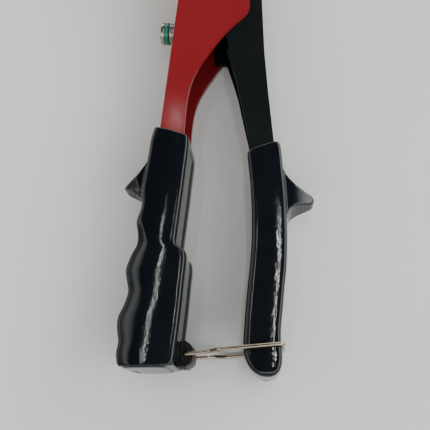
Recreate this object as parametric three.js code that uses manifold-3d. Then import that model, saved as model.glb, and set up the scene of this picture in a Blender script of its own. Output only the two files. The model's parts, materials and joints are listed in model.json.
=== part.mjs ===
// Hand riveter of the plier type: a folded sheet-steel body with a vinyl grip, a hinged steel lever
// with its own grip, a wire loop that latches the handles shut, and the riveting head with its draw
// tube, jaws, spring and screw-in nosepieces. Millimetres, +Z up. The tool lies on its side:
// X runs across the handles, Y along them towards the head, Z is the axis of the lever's pivot.
// The tool is laid out from the pivot's axis at the mid-plane of the body, and the finished group
// is then set down with the middle of its underside at the origin.

import * as THREE from 'three';
import { mergeVertices } from 'three/addons/utils/BufferGeometryUtils.js';
import Module from 'manifold-3d';

const wasm = await Module();
wasm.setup();

// ---------------------------------------------------------------- driving dimensions

const SHEET = 2.0;
const BODY_HALF = 12.2;
const BODY_INNER = BODY_HALF - SHEET;
const LEVER_HALF = 9.85;
const LEVER_INNER = LEVER_HALF - SHEET;
const FIXED_GRIP_HALF = 14.0;
const LEVER_GRIP_HALF = 11.9;
const GAP = 0.3;

// the spine of the body leans back from the head by about five degrees
const SPINE_X0 = -24.2;
const SPINE_SLOPE = 0.088;

// the jaw axis lies this far above the pivot, and the lever swings evenly to both sides of it
const ARM = 10.5;
const HALF_SWING = THREE.MathUtils.degToRad(27);
const DRAW_X = ARM * Math.tan(HALF_SWING);

const BARREL_TIP = -84;
const BARREL_R = 9.5;
const BARREL_SHANK_R = 7.8;
const BARREL_BORE_R = 6.8;
const BODY_FRONT = -48;
const BODY_REAR = 32;
const BODY_TOP = 22.5;

const CASE_FRONT = -68;
const CASE_R = 6.4;
const CASE_BORE_R = 5.7;
const CONE = THREE.MathUtils.degToRad(8);
const CONE_START_R = 3.9;
const JAW_LENGTH = 11;
const DRAW_TUBE_R = 5.3;
const DRAW_TUBE_BORE_R = 4.4;
const PUSHER_R = 4.1;
const MANDREL_BORE_R = 2.3;
const SPRING_MEAN_R = 3.55;
const SPRING_WIRE_R = 0.45;

const PIVOT_R = 3.5;
const PIVOT_HEAD_R = 6.2;
const TRUNNION_R = 2.5;

const NOSEPIECE_R = 6.0;
const NOSEPIECE_SHANK_R = 3.3;
const SPARE_Y = -58.3;

const WIRE_R = 0.85;
const LATCH_X = -21.4;
const LATCH_Y = -236.1;
const LATCH_REACH = 43.0;
const LATCH_TILT = THREE.MathUtils.degToRad(4.2);
const LATCH_NECK = 8.2;
const LATCH_HALF = 13.05;

// ---------------------------------------------------------------- helpers

// a closed outline from [x, y, corner radius] points
function roundedShape(points, steps = 5) {
  const out = [];
  points.forEach(([x, y, radius = 0], i) => {
    const here = new THREE.Vector2(x, y);
    if (radius === 0) {
      out.push(here);
      return;
    }
    const before = new THREE.Vector2(...points[(i + points.length - 1) % points.length]);
    const after = new THREE.Vector2(...points[(i + 1) % points.length]);
    const a = before.sub(here);
    const b = after.sub(here);
    const half = Math.acos(a.dot(b) / (a.length() * b.length())) / 2;
    const reach = Math.min(radius / Math.tan(half), a.length() * 0.49, b.length() * 0.49);
    const from = here.clone().add(a.setLength(reach));
    const to = here.clone().add(b.setLength(reach));
    const curve = new THREE.QuadraticBezierCurve(from, here, to);
    out.push(...curve.getPoints(steps));
  });
  return new THREE.Shape(out);
}

// a closed smooth outline through [x, y] points
function splineShape(points, count) {
  const knots = points.map(([x, y]) => new THREE.Vector3(x, y, 0));
  const curve = new THREE.CatmullRomCurve3(knots, true, 'centripetal');
  const ring = curve.getSpacedPoints(count).slice(0, count);
  return new THREE.Shape(ring.map((p) => new THREE.Vector2(p.x, p.y)));
}

function slab(shape, zLow, zHigh, round = 0, roundSteps = 2) {
  const geometry = new THREE.ExtrudeGeometry(shape, {
    depth: zHigh - zLow - 2 * round,
    bevelEnabled: round > 0,
    bevelThickness: round,
    bevelSize: round,
    bevelOffset: -round,
    bevelSegments: roundSteps,
    curveSegments: 6,
  });
  geometry.translate(0, 0, zLow + round);
  return geometry;
}

// a turned piece along +X: profile is [x, radius] points, closed on itself or ended on the axis
function turned(profile, segments = 20) {
  const points = profile.map(([x, r]) => new THREE.Vector2(r, x));
  if (THREE.ShapeUtils.area(points) < 0) points.reverse();
  const geometry = new THREE.LatheGeometry(points, segments);
  geometry.rotateZ(-Math.PI / 2);
  return geometry;
}

function tubeProfile(x0, x1, inner, outer, chamfer = 0.3) {
  return [
    [x0, inner],
    [x1, inner],
    [x1, outer - chamfer],
    [x1 - chamfer, outer],
    [x0 + chamfer, outer],
    [x0, outer - chamfer],
    [x0, inner],
  ];
}

function rodZ(x, y, radius, zLow, zHigh, segments = 20) {
  const geometry = new THREE.CylinderGeometry(radius, radius, zHigh - zLow, segments);
  geometry.rotateX(Math.PI / 2);
  geometry.translate(x, y, (zLow + zHigh) / 2);
  return geometry;
}

function box(x0, x1, y0, y1, z0, z1) {
  const geometry = new THREE.BoxGeometry(x1 - x0, y1 - y0, z1 - z0);
  geometry.translate((x0 + x1) / 2, (y0 + y1) / 2, (z0 + z1) / 2);
  return geometry;
}

// a path through given points that is sampled at exactly those points
class Route extends THREE.Curve {
  constructor(points) {
    super();
    this.points = points;
  }

  getPoint(t, target = new THREE.Vector3()) {
    const last = this.points.length - 1;
    const along = THREE.MathUtils.clamp(t * last, 0, last);
    const index = Math.min(Math.floor(along), last - 1);
    return target.lerpVectors(this.points[index], this.points[index + 1], along - index);
  }

  getUtoTmapping(u) {
    return u;
  }
}

// the points of a polyline with every corner rounded
function bent(points, bend, steps = 4) {
  const out = [points[0]];
  points.slice(1, -1).forEach((corner, i) => {
    const a = points[i].clone().sub(corner);
    const b = points[i + 2].clone().sub(corner);
    const start = corner.clone().add(a.setLength(Math.min(bend, a.length() * 0.49)));
    const end = corner.clone().add(b.setLength(Math.min(bend, b.length() * 0.49)));
    out.push(...new THREE.QuadraticBezierCurve3(start, corner, end).getPoints(steps));
  });
  out.push(points[points.length - 1]);
  return out;
}

// a round wire through the given points
function wire(points, radius, sides) {
  const ring = Array.from({ length: sides }, (_, i) => {
    const angle = (2 * Math.PI * i) / sides;
    return new THREE.Vector2(radius * Math.cos(angle), radius * Math.sin(angle));
  });
  return new THREE.ExtrudeGeometry(new THREE.Shape(ring), {
    steps: points.length - 1,
    extrudePath: new Route(points),
    bevelEnabled: false,
  });
}

function solid(geometry) {
  const bare = geometry.index ? geometry.toNonIndexed() : geometry.clone();
  bare.deleteAttribute('normal');
  bare.deleteAttribute('uv');
  const merged = mergeVertices(bare, 1e-4);
  return new wasm.Manifold(new wasm.Mesh({
    numProp: 3,
    vertProperties: new Float32Array(merged.attributes.position.array),
    triVerts: new Uint32Array(merged.index.array),
  }));
}

function joined(first, ...others) {
  return others.reduce((sum, geometry) => sum.add(solid(geometry)), solid(first));
}

function cut(from, ...tools) {
  return tools.reduce((rest, geometry) => rest.subtract(solid(geometry)), from);
}

function geometryOf(manifold) {
  const { vertProperties, triVerts } = manifold.getMesh();
  const geometry = new THREE.BufferGeometry();
  geometry.setAttribute('position', new THREE.BufferAttribute(vertProperties, 3));
  geometry.setIndex(new THREE.BufferAttribute(triVerts, 1));
  geometry.computeVertexNormals();
  return geometry;
}

const LOOKS = {
  redPaint: { color: 0x8e1f24, roughness: 0.38, metalness: 0.0 },
  blackCoat: { color: 0x14191b, roughness: 0.45, metalness: 0.0 },
  grip: { color: 0x0c1014, roughness: 0.22, metalness: 0.0 },
  lug: { color: 0x141517, roughness: 0.5, metalness: 0.0 },
  plated: { color: 0xbfb9ad, roughness: 0.28, metalness: 1.0 },
  steel: { color: 0x8d8f92, roughness: 0.35, metalness: 1.0 },
  hardened: { color: 0x4c4d50, roughness: 0.4, metalness: 1.0 },
  zinc: { color: 0xa5a6a8, roughness: 0.45, metalness: 1.0 },
  greenRing: { color: 0x0b7d52, roughness: 0.4, metalness: 0.0 },
  yellowRing: { color: 0xd0a21c, roughness: 0.4, metalness: 0.0 },
};

const tool = new THREE.Group();

function add(name, shape, look, parent = tool) {
  const geometry = shape.isBufferGeometry ? shape : geometryOf(shape);
  const mesh = new THREE.Mesh(geometry, new THREE.MeshStandardMaterial(LOOKS[look]));
  mesh.name = name;
  parent.add(mesh);
  return mesh;
}

const spineX = (y) => SPINE_X0 + SPINE_SLOPE * y;

// ---------------------------------------------------------------- body: folded red shell

const TANG_END = -222;
const bodyOutline = roundedShape([
  [spineX(TANG_END), TANG_END, 3],
  [spineX(-9), -9, 16],
  [BODY_FRONT, -2, 3],
  [BODY_FRONT, BODY_TOP - 0.8, 4],
  [-14, BODY_TOP, 60],
  [BODY_REAR, BODY_TOP, 7],
  [BODY_REAR, -3, 6],
  [11.5, -15, 18],
  [11.5, -54, 5],
  [-5.6, -73.4, 60],
  [-16.6, -89.6, 30],
  [-22.1, -107.5, 30],
  [-23.3, -132],
  [-26.5, -200],
  [-27.5, TANG_END, 3],
], 4);
const bodyHollow = roundedShape([
  [spineX(-240) + SHEET, -240],
  [spineX(-11) + SHEET, -11, 15],
  [BODY_FRONT + SHEET, 0.2, 2],
  [BODY_FRONT + SHEET, BODY_TOP - SHEET, 2],
  [BODY_REAR + 10, BODY_TOP - SHEET],
  [BODY_REAR + 10, -240],
], 4);

const onJawAxis = (geometry) => geometry.translate(0, ARM, 0);
const boreX = (radius, x0, x1) => onJawAxis(turned([[x0, 0], [x0, radius], [x1, radius], [x1, 0]]));

const spareTilt = Math.atan(SPINE_SLOPE);
const placeSpare = (geometry) => {
  geometry.rotateZ(-spareTilt);
  return geometry.translate(spineX(SPARE_Y), SPARE_Y, 0);
};

const shell = cut(
  solid(slab(bodyOutline, -BODY_HALF, BODY_HALF, 1.4, 2)),
  slab(bodyHollow, -BODY_INNER, BODY_INNER, 0.6, 1),
  boreX(BARREL_SHANK_R + GAP, BODY_FRONT - 2, BODY_FRONT + 4),
  rodZ(0, 0, PIVOT_R + 0.05, -BODY_HALF - 1, BODY_HALF + 1),
  placeSpare(turned([[-2, 0], [-2, 5.3], [4, 5.3], [4, 0]])),
);

// short rivets hold each head block to both walls at the height of the jaw axis
const RIVET_R = 2.2;
const RIVET_DEPTH = 8.4;
const RIVETS = [
  ['front_rivet_near', -41, 1],
  ['front_rivet_far', -41, -1],
  ['rear_rivet_near', 27.6, 1],
  ['rear_rivet_far', 27.6, -1],
];
const rivetHoles = (x) => [
  rodZ(x, ARM, RIVET_R + 0.05, RIVET_DEPTH - 0.2, BODY_HALF + 1, 16),
  rodZ(x, ARM, RIVET_R + 0.05, -BODY_HALF - 1, -RIVET_DEPTH + 0.2, 16),
];
add('body_shell', cut(shell, ...rivetHoles(-41), ...rivetHoles(27.6)), 'redPaint');

// ---------------------------------------------------------------- head: blocks, barrel, rear cap

function headBlock(x0, x1, rearCorner) {
  const half = BODY_INNER - 0.2;
  const corners = [[x0, 0.6, 2.4], [x1, 0.6, 2.4], [x1, 20.2, rearCorner], [x0, 20.2, 2.4]];
  return solid(slab(roundedShape(corners, 3), -half, half, 0.9, 1));
}

const frontBlock = cut(
  headBlock(-45.7, -36, 2.4),
  boreX(BARREL_SHANK_R + 0.2, -50, -30),
  ...rivetHoles(-41),
);
add('front_block', frontBlock, 'zinc');

const rearBlock = cut(
  headBlock(23.5, BODY_REAR - 0.4, 6),
  boreX(5.9, 20, 36),
  ...rivetHoles(27.6),
);
add('rear_block', rearBlock, 'zinc');

RIVETS.forEach(([name, x, side]) => {
  const length = BODY_HALF + 0.7 - RIVET_DEPTH;
  const rivet = turned([
    [0, 0],
    [0, RIVET_R],
    [length - 0.6, RIVET_R],
    [length, RIVET_R - 0.7],
    [length, 0],
  ], 16);
  rivet.rotateY((-side * Math.PI) / 2);
  const mesh = add(name, rivet, 'steel');
  mesh.position.set(x, ARM, side * RIVET_DEPTH);
});

const barrel = turned([
  [BARREL_TIP, NOSEPIECE_SHANK_R + 0.25],
  [BARREL_TIP + 4, NOSEPIECE_SHANK_R + 0.25],
  [BARREL_TIP + 4, BARREL_BORE_R],
  [-33, BARREL_BORE_R],
  [-33, BARREL_SHANK_R],
  [BODY_FRONT - GAP, BARREL_SHANK_R],
  [BODY_FRONT - GAP, BARREL_R],
  [BARREL_TIP + 7, BARREL_R],
  [BARREL_TIP + 2, BARREL_R - 1.8],
  [BARREL_TIP, BARREL_R - 2.6],
  [BARREL_TIP, NOSEPIECE_SHANK_R + 0.25],
], 26);
add('barrel', onJawAxis(barrel), 'redPaint');

const rearCap = turned([
  [16, MANDREL_BORE_R],
  [36.5, MANDREL_BORE_R],
  [36.5, 7.2],
  [35.7, 8.0],
  [BODY_REAR + GAP, 8.0],
  [BODY_REAR + GAP, 5.6],
  [24, 5.6],
  [24, 2.95],
  [16, 2.95],
  [16, MANDREL_BORE_R],
]);
add('rear_cap', onJawAxis(rearCap), 'steel');

// ---------------------------------------------------------------- nosepieces

// the plain flange bears on the rivet, the shank screws in, and its tail opens the jaws
function nosepiece(shankEnd) {
  return turned([
    [-5.1, 1.7],
    [shankEnd, 1.7],
    [shankEnd, NOSEPIECE_SHANK_R - 0.6],
    [shankEnd - 1, NOSEPIECE_SHANK_R],
    [-0.3, NOSEPIECE_SHANK_R],
    [-0.3, 4.9],
    [-2.6, 4.9],
    [-2.6, NOSEPIECE_R],
    [-4.5, NOSEPIECE_R],
    [-5.1, NOSEPIECE_R - 0.5],
    [-5.1, 1.7],
  ]);
}

function sizeRing() {
  return turned(tubeProfile(-2.4, -0.1, 5.1, 5.9, 0.2));
}

const fitted = new THREE.Group();
fitted.position.set(BARREL_TIP - 0.2, ARM, 0);
tool.add(fitted);
add('nosepiece', nosepiece(7), 'plated', fitted);
add('nosepiece_ring', sizeRing(), 'yellowRing', fitted);

const spare = new THREE.Group();
spare.position.set(spineX(SPARE_Y), SPARE_Y, 0);
spare.rotation.z = -spareTilt;
tool.add(spare);
const COLLAR_OUT = 4.6;
const socket = turned([
  [-COLLAR_OUT, NOSEPIECE_SHANK_R + 0.25],
  [6, NOSEPIECE_SHANK_R + 0.25],
  [6, 5.0],
  [-GAP, 5.0],
  [-GAP, 5.7],
  [-COLLAR_OUT, 5.7],
  [-COLLAR_OUT, NOSEPIECE_SHANK_R + 0.25],
]);
add('spare_socket', socket, 'steel', spare);
const spareOut = new THREE.Group();
spareOut.position.x = -COLLAR_OUT - 0.1;
spare.add(spareOut);
add('spare_nosepiece', nosepiece(8), 'plated', spareOut);
add('spare_nosepiece_ring', sizeRing(), 'greenRing', spareOut);

// ---------------------------------------------------------------- draw tube, jaws and spring

const coneR = (x) => CONE_START_R + (x - CASE_FRONT - 2) * Math.tan(CONE);
const jawCase = turned([
  [CASE_FRONT, 3.7],
  [CASE_FRONT + 2, CONE_START_R],
  [CASE_FRONT + 14, coneR(CASE_FRONT + 14)],
  [CASE_FRONT + 14, CASE_BORE_R],
  [CASE_FRONT + 24, CASE_BORE_R],
  [CASE_FRONT + 24, CASE_R - 0.4],
  [CASE_FRONT + 23.6, CASE_R],
  [CASE_FRONT + 1, CASE_R],
  [CASE_FRONT, CASE_R - 0.8],
  [CASE_FRONT, 3.7],
]);
add('jaw_case', onJawAxis(jawCase), 'hardened');

const drawTube = turned(tubeProfile(CASE_FRONT + 16, 22, DRAW_TUBE_BORE_R, DRAW_TUBE_R, 0.2));
add('draw_tube', onJawAxis(drawTube), 'steel');

const yoke = joined(
  onJawAxis(turned(tubeProfile(DRAW_X - 3.5, DRAW_X + 3.5, 5.0, 6.6, 0.4))),
  rodZ(DRAW_X, ARM, TRUNNION_R, 5.6, BODY_INNER - 0.3, 20),
  rodZ(DRAW_X, ARM, TRUNNION_R, -BODY_INNER + 0.3, -5.6, 20),
);
add('draw_yoke', cut(yoke, boreX(DRAW_TUBE_R + 0.25, DRAW_X - 5, DRAW_X + 5)), 'hardened');

const JAW_FRONT = CASE_FRONT + 2.3;
const JAW_REAR = JAW_FRONT + JAW_LENGTH;
const jawCone = turned([
  [JAW_FRONT, 0.9],
  [JAW_REAR - 2.2, 0.9],
  [JAW_REAR, 3.1],
  [JAW_REAR, coneR(JAW_REAR) - 0.65],
  [JAW_REAR - 0.8, coneR(JAW_REAR - 0.8) - 0.15],
  [JAW_FRONT, coneR(JAW_FRONT) - 0.15],
  [JAW_FRONT, 0.9],
]);
const JAW_SPLIT = 0.35;
const jawPair = solid(onJawAxis(jawCone));
const upperHalf = box(-70, -50, ARM + JAW_SPLIT, ARM + 8, -8, 8);
const lowerHalf = box(-70, -50, ARM - 8, ARM - JAW_SPLIT, -8, 8);
add('jaw_upper', jawPair.intersect(solid(upperHalf)), 'hardened');
add('jaw_lower', jawPair.intersect(solid(lowerHalf)), 'hardened');

const PUSHER_REAR = -40;
const pusher = turned([
  [JAW_REAR - 0.1, MANDREL_BORE_R],
  [PUSHER_REAR, MANDREL_BORE_R],
  [PUSHER_REAR, 2.9],
  [PUSHER_REAR - 3, 2.9],
  [PUSHER_REAR - 3, PUSHER_R],
  [JAW_REAR + 1.5, PUSHER_R],
  [JAW_REAR - 0.1, 2.55],
  [JAW_REAR - 0.1, MANDREL_BORE_R],
]);
add('jaw_pusher', onJawAxis(pusher), 'steel');

const SPRING_TURNS = 13;
const SPRING_STEPS = 11;
const springPoints = Array.from({ length: SPRING_TURNS * SPRING_STEPS + 1 }, (_, i) => {
  const angle = (2 * Math.PI * i) / SPRING_STEPS;
  const x = THREE.MathUtils.lerp(PUSHER_REAR - 2.2, 23.3, i / (SPRING_TURNS * SPRING_STEPS));
  return new THREE.Vector3(x, SPRING_MEAN_R * Math.cos(angle), SPRING_MEAN_R * Math.sin(angle));
});
add('jaw_spring', onJawAxis(wire(springPoints, SPRING_WIRE_R, 6)), 'steel');

// ---------------------------------------------------------------- pivot

const pivotPin = turned([
  [-FIXED_GRIP_HALF, 0],
  [-FIXED_GRIP_HALF, PIVOT_HEAD_R - 0.6],
  [-FIXED_GRIP_HALF + 0.6, PIVOT_HEAD_R],
  [-BODY_HALF - 0.15, PIVOT_HEAD_R],
  [-BODY_HALF - 0.15, PIVOT_R],
  [BODY_HALF + 1.2, PIVOT_R],
  [BODY_HALF + 1.7, PIVOT_R - 0.5],
  [BODY_HALF + 1.7, 0],
]);
add('pivot_pin', pivotPin.rotateY(-Math.PI / 2), 'plated');
const clip = turned(tubeProfile(BODY_HALF + 0.15, BODY_HALF + 1.05, PIVOT_R + 0.15, PIVOT_HEAD_R, 0.2));
add('pivot_clip', clip.rotateY(-Math.PI / 2), 'steel');

// ---------------------------------------------------------------- lever

const slotDir = new THREE.Vector2(Math.sin(HALF_SWING), Math.cos(HALF_SWING));
const slotSide = new THREE.Vector2(slotDir.y, -slotDir.x);
const earPoint = (out, side) => [
  slotDir.x * out + slotSide.x * side,
  slotDir.y * out + slotSide.y * side,
];
const leverOutline = roundedShape([
  [...earPoint(16, 5.4), 2.4],
  [12.0, -12, 10],
  [17.9, -34, 8],
  [18.3, -82],
  [19.3, -105],
  [21.2, -136, 30],
  [23.0, -172, 60],
  [19.6, -215, 30],
  [17.2, -238, 3],
  [7.0, -236, 3],
  [8.4, -215, 30],
  [11.6, -178, 60],
  [8.6, -130, 60],
  [2.9, -97],
  [-2.8, -75.3, 2],
  [-9.6, -75, 2.5],
  [-10.4, -40, 30],
  [-9.4, 0.5, 9],
  [...earPoint(16, -5.4), 2.4],
], 3);
const leverHollow = roundedShape([
  [-30, 30],
  [10, 30],
  [15.9, -34, 4],
  [16.3, -82],
  [17.3, -105],
  [19.2, -136, 30],
  [21.0, -172, 60],
  [17.6, -215, 30],
  [15.0, -250],
  [-30, -250],
], 3);
const slotHalf = TRUNNION_R + 0.4;
const slotOutline = roundedShape([
  [...earPoint(7.2, -slotHalf), 2.6],
  [...earPoint(7.2, slotHalf), 2.6],
  earPoint(20, slotHalf),
  earPoint(20, -slotHalf),
], 4);
const lever = cut(
  solid(slab(leverOutline, -LEVER_HALF, LEVER_HALF, 0.9, 2)),
  slab(leverHollow, -LEVER_INNER, LEVER_INNER, 0.5, 1),
  box(-20, 30, -20, 40, -LEVER_INNER, LEVER_INNER),
  rodZ(0, 0, PIVOT_R + 0.08, -12, 12, 24),
  slab(slotOutline, -12, 12),
);
add('lever', lever, 'blackCoat');

// ---------------------------------------------------------------- grips

// a finger guard whose two faces slope from the half thickness at its root to that at its tip
function taperedGuard(shape, [rootX, rootHalf], [tipX, tipHalf]) {
  const outX = tipX + (tipX - rootX) * 0.2;
  const outHalf = tipHalf + (tipHalf - rootHalf) * 0.2;
  const wedges = [-1, 1].map((side) => {
    const profile = new THREE.Shape([
      new THREE.Vector2(rootX, side * rootHalf),
      new THREE.Vector2(outX, side * outHalf),
      new THREE.Vector2(outX, side * 16),
      new THREE.Vector2(rootX, side * 16),
    ]);
    const wedge = new THREE.ExtrudeGeometry(profile, { depth: 60, bevelEnabled: false });
    return wedge.rotateX(Math.PI / 2).translate(0, -125, 0);
  });
  return cut(solid(slab(shape, -rootHalf, rootHalf)), ...wedges);
}

const fixedGripMain = splineShape([
  [-38.3, -123.6],
  [-30.5, -126.4],
  [-22.6, -130.8],
  [-20.6, -134.2],
  [-21.2, -142],
  [-22.9, -162],
  [-24.9, -181],
  [-25.4, -187],
  [-21.6, -190.4],
  [-20.8, -196],
  [-22.2, -212],
  [-24.4, -234],
  [-26.4, -240.8],
  [-38, -242.3],
  [-47.4, -242.3],
  [-51, -238.6],
  [-50.7, -231],
  [-52.2, -222],
  [-49.4, -214],
  [-47.7, -207.5],
  [-49.4, -199],
  [-46.8, -190],
  [-44.2, -183],
  [-45.1, -175],
  [-43.2, -167],
  [-43.4, -160],
  [-42.4, -150],
  [-41.2, -140],
  [-40.2, -129],
], 68);
const fixedGuard = splineShape([
  [-38, -139],
  [-42, -144.6],
  [-45.7, -148.8],
  [-50, -151.6],
  [-53.2, -153.4],
  [-53.9, -154.5],
  [-52.6, -155.5],
  [-48.6, -156.6],
  [-45.2, -158.8],
  [-43, -163],
  [-39, -170],
  [-33, -155],
], 30);
const tangGrown = roundedShape([
  [spineX(-226) - GAP, TANG_END - 1.5, 3],
  [spineX(-110) - GAP, -110],
  [-20, -110],
  [-23.2, -136],
  [-26.2, -200],
  [-27.2, TANG_END - 1.5, 3],
], 4);
const fixedGrip = cut(
  solid(slab(fixedGripMain, -FIXED_GRIP_HALF, FIXED_GRIP_HALF, 3.6, 3))
    .add(taperedGuard(fixedGuard, [-41.5, 11], [-53.9, 3.6])),
  slab(tangGrown, -BODY_HALF - GAP, BODY_HALF + GAP),
  box(-47.4, -44, -245, -240, -11.5, -0.5),
);
add('fixed_grip', fixedGrip, 'grip');

const leverGripMain = splineShape([
  [8.4, -139.2],
  [14, -137.4],
  [19.4, -135.6],
  [23.2, -135.0],
  [24.3, -137.6],
  [24.9, -149],
  [25.6, -162],
  [25.6, -176],
  [25.0, -192],
  [23.4, -206.5],
  [21.9, -218],
  [20.2, -231],
  [20.6, -239],
  [18.6, -244],
  [14.6, -245.3],
  [9.8, -244.2],
  [5.4, -239.4],
  [4.1, -233.6],
  [5.5, -217.5],
  [7.5, -200],
  [9.0, -184],
  [9.3, -168],
  [8.7, -152],
  [8.0, -142],
], 56);
const leverGuard = splineShape([
  [20, -146],
  [24.9, -149.2],
  [27.2, -153.8],
  [31.6, -158],
  [36.6, -161.2],
  [38.9, -163.2],
  [39.2, -164.8],
  [37.4, -166.6],
  [32.4, -167.6],
  [28, -169.6],
  [25.4, -174],
  [20, -180],
], 30);
const leverTangGrown = roundedShape([
  [21.5, -130],
  [21.5, -136, 30],
  [23.3, -172, 60],
  [19.9, -215, 30],
  [17.6, -239.6, 3],
  [6.6, -237.6, 3],
  [8.1, -215, 30],
  [11.3, -178, 60],
  [8.3, -130],
], 4);
const leverGrip = cut(
  solid(slab(leverGripMain, -LEVER_GRIP_HALF, LEVER_GRIP_HALF, 2.6, 3))
    .add(taperedGuard(leverGuard, [24.6, 9.4], [39, 3.2])),
  slab(leverTangGrown, -LEVER_HALF - 0.25, LEVER_HALF + 0.25),
  (() => {
    const vent = new THREE.CylinderGeometry(1.5, 1.5, 12, 12);
    return vent.translate(13.4, -243, -7.4);
  })(),
);
add('lever_grip', leverGrip, 'grip');

// ---------------------------------------------------------------- latch

const lugOutline = roundedShape([
  [-28.6, -230.6, 2],
  [LATCH_X + 3.3, -230.6, 5.1],
  [LATCH_X + 3.3, -241.0, 5.1],
  [-28.6, -241.0, 2],
], 6);
const lugHalf = LATCH_NECK - WIRE_R - 0.5;
const RIBS = [-25.6, -24.0, -22.4];
const lug = cut(
  joined(
    slab(lugOutline, -lugHalf, lugHalf, 0.6, 1),
    ...RIBS.map((x) => box(x - 0.4, x + 0.4, -241.5, -230.4, -lugHalf + 0.8, lugHalf - 0.8)),
  ),
  slab(fixedGripMain, -20, 20).translate(GAP, 0, 0),
  rodZ(LATCH_X, LATCH_Y, WIRE_R + 0.1, -8, 8, 16),
);
add('latch_lug', lug, 'lug');

const latchPoint = (along, z) => new THREE.Vector3(
  LATCH_X + along * Math.cos(LATCH_TILT),
  LATCH_Y + along * Math.sin(LATCH_TILT),
  z,
);
const loopPoints = bent([
  latchPoint(0, lugHalf - 1.6),
  latchPoint(0, LATCH_NECK),
  latchPoint(10.5, LATCH_NECK),
  latchPoint(16.5, LATCH_HALF),
  latchPoint(LATCH_REACH, LATCH_HALF),
  latchPoint(LATCH_REACH, -LATCH_HALF),
  latchPoint(16.5, -LATCH_HALF),
  latchPoint(10.5, -LATCH_NECK),
  latchPoint(0, -LATCH_NECK),
  latchPoint(0, -lugHalf + 1.6),
], 2.4);
add('latch_loop', wire(loopPoints, WIRE_R, 8), 'plated');

// ---------------------------------------------------------------- setting down

const group = new THREE.Group();
group.add(tool);
tool.updateMatrixWorld(true);
const bounds = new THREE.Box3().setFromObject(tool);
const middle = bounds.getCenter(new THREE.Vector3());
tool.position.set(-middle.x, -middle.y, -bounds.min.z);

export default group;
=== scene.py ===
import json
import math

import bmesh
import bpy
from mathutils import Matrix, Vector


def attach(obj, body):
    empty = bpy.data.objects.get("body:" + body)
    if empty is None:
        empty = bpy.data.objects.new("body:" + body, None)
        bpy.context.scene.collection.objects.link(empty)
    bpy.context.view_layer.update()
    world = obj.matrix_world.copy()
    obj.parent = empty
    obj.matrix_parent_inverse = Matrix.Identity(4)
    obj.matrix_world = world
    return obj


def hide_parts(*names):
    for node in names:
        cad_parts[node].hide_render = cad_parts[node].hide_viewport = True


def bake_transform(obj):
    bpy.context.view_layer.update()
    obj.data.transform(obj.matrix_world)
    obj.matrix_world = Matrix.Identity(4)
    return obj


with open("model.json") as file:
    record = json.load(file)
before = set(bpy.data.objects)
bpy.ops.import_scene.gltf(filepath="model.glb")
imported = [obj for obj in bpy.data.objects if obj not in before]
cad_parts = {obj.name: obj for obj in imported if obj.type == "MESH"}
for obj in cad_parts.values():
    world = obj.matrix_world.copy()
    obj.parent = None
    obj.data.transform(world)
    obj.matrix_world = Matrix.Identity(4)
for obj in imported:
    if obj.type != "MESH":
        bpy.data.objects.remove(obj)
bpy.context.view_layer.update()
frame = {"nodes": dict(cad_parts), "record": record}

MM = 0.001
joints = {j["name"]: j for j in frame["record"]["behaviour"]["joints"]}
PIVOT = Vector(joints["lever_pivot"]["pos_m"])
LATCH = Vector(joints["latch_hinge"]["pos_m"])

# driving dimensions in millimetres, from the lever's pivot axis at the body's mid-plane
SHEET = 2.0
BODY_HALF = 12.2
BODY_INNER = BODY_HALF - SHEET
LEVER_HALF = 9.85
LEVER_INNER = LEVER_HALF - SHEET
FIXED_GRIP_HALF = 14.0
LEVER_GRIP_HALF = 11.9
ARM = 10.5
HALF_SWING = math.radians(27)
SPINE_X0 = -24.2
SPINE_SLOPE = 0.088
SPARE_Y = -58.3
WIRE_R = 0.85
LATCH_TILT = math.radians(4.2)
LATCH_REACH = 43.0
LATCH_NECK = 8.2
LATCH_HALF = 13.05


def spine_x(y):
    return SPINE_X0 + SPINE_SLOPE * y


# ------------------------------------------------------------------ mesh helpers


def new_object(name, mesh):
    obj = bpy.data.objects.new(name, mesh)
    bpy.context.scene.collection.objects.link(obj)
    return obj


def object_from_bmesh(name, bm):
    bmesh.ops.recalc_face_normals(bm, faces=bm.faces)
    mesh = bpy.data.meshes.new(name)
    bm.to_mesh(mesh)
    bm.free()
    return new_object(name, mesh)


def apply_modifiers(obj):
    graph = bpy.context.evaluated_depsgraph_get()
    mesh = bpy.data.meshes.new_from_object(obj.evaluated_get(graph))
    old = obj.data
    obj.modifiers.clear()
    obj.data = mesh
    bpy.data.meshes.remove(old)
    return obj


def smooth_by_angle(obj, degrees=35):
    obj.data.shade_smooth()
    obj.data.set_sharp_from_angle(angle=math.radians(degrees))
    return obj


def flat_faces(obj):
    """Keeps broad flat faces evenly lit beside their rounded edges."""
    mod = obj.modifiers.new("even_normals", "WEIGHTED_NORMAL")
    mod.mode = "FACE_AREA"
    mod.weight = 80
    mod.keep_sharp = True
    return obj


def boolean(obj, tools, operation="DIFFERENCE"):
    for tool in tools:
        mod = obj.modifiers.new("cut", "BOOLEAN")
        mod.operation = operation
        mod.solver = "EXACT"
        mod.object = tool
        apply_modifiers(obj)
    for tool in tools:
        mesh = tool.data
        bpy.data.objects.remove(tool)
        bpy.data.meshes.remove(mesh)
    return obj


def bevel(obj, width, segments=2, degrees=40):
    mod = obj.modifiers.new("edge_round", "BEVEL")
    mod.width = width * MM
    mod.segments = segments
    mod.limit_method = "ANGLE"
    mod.angle_limit = math.radians(degrees)
    mod.use_clamp_overlap = True
    return apply_modifiers(obj)


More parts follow.
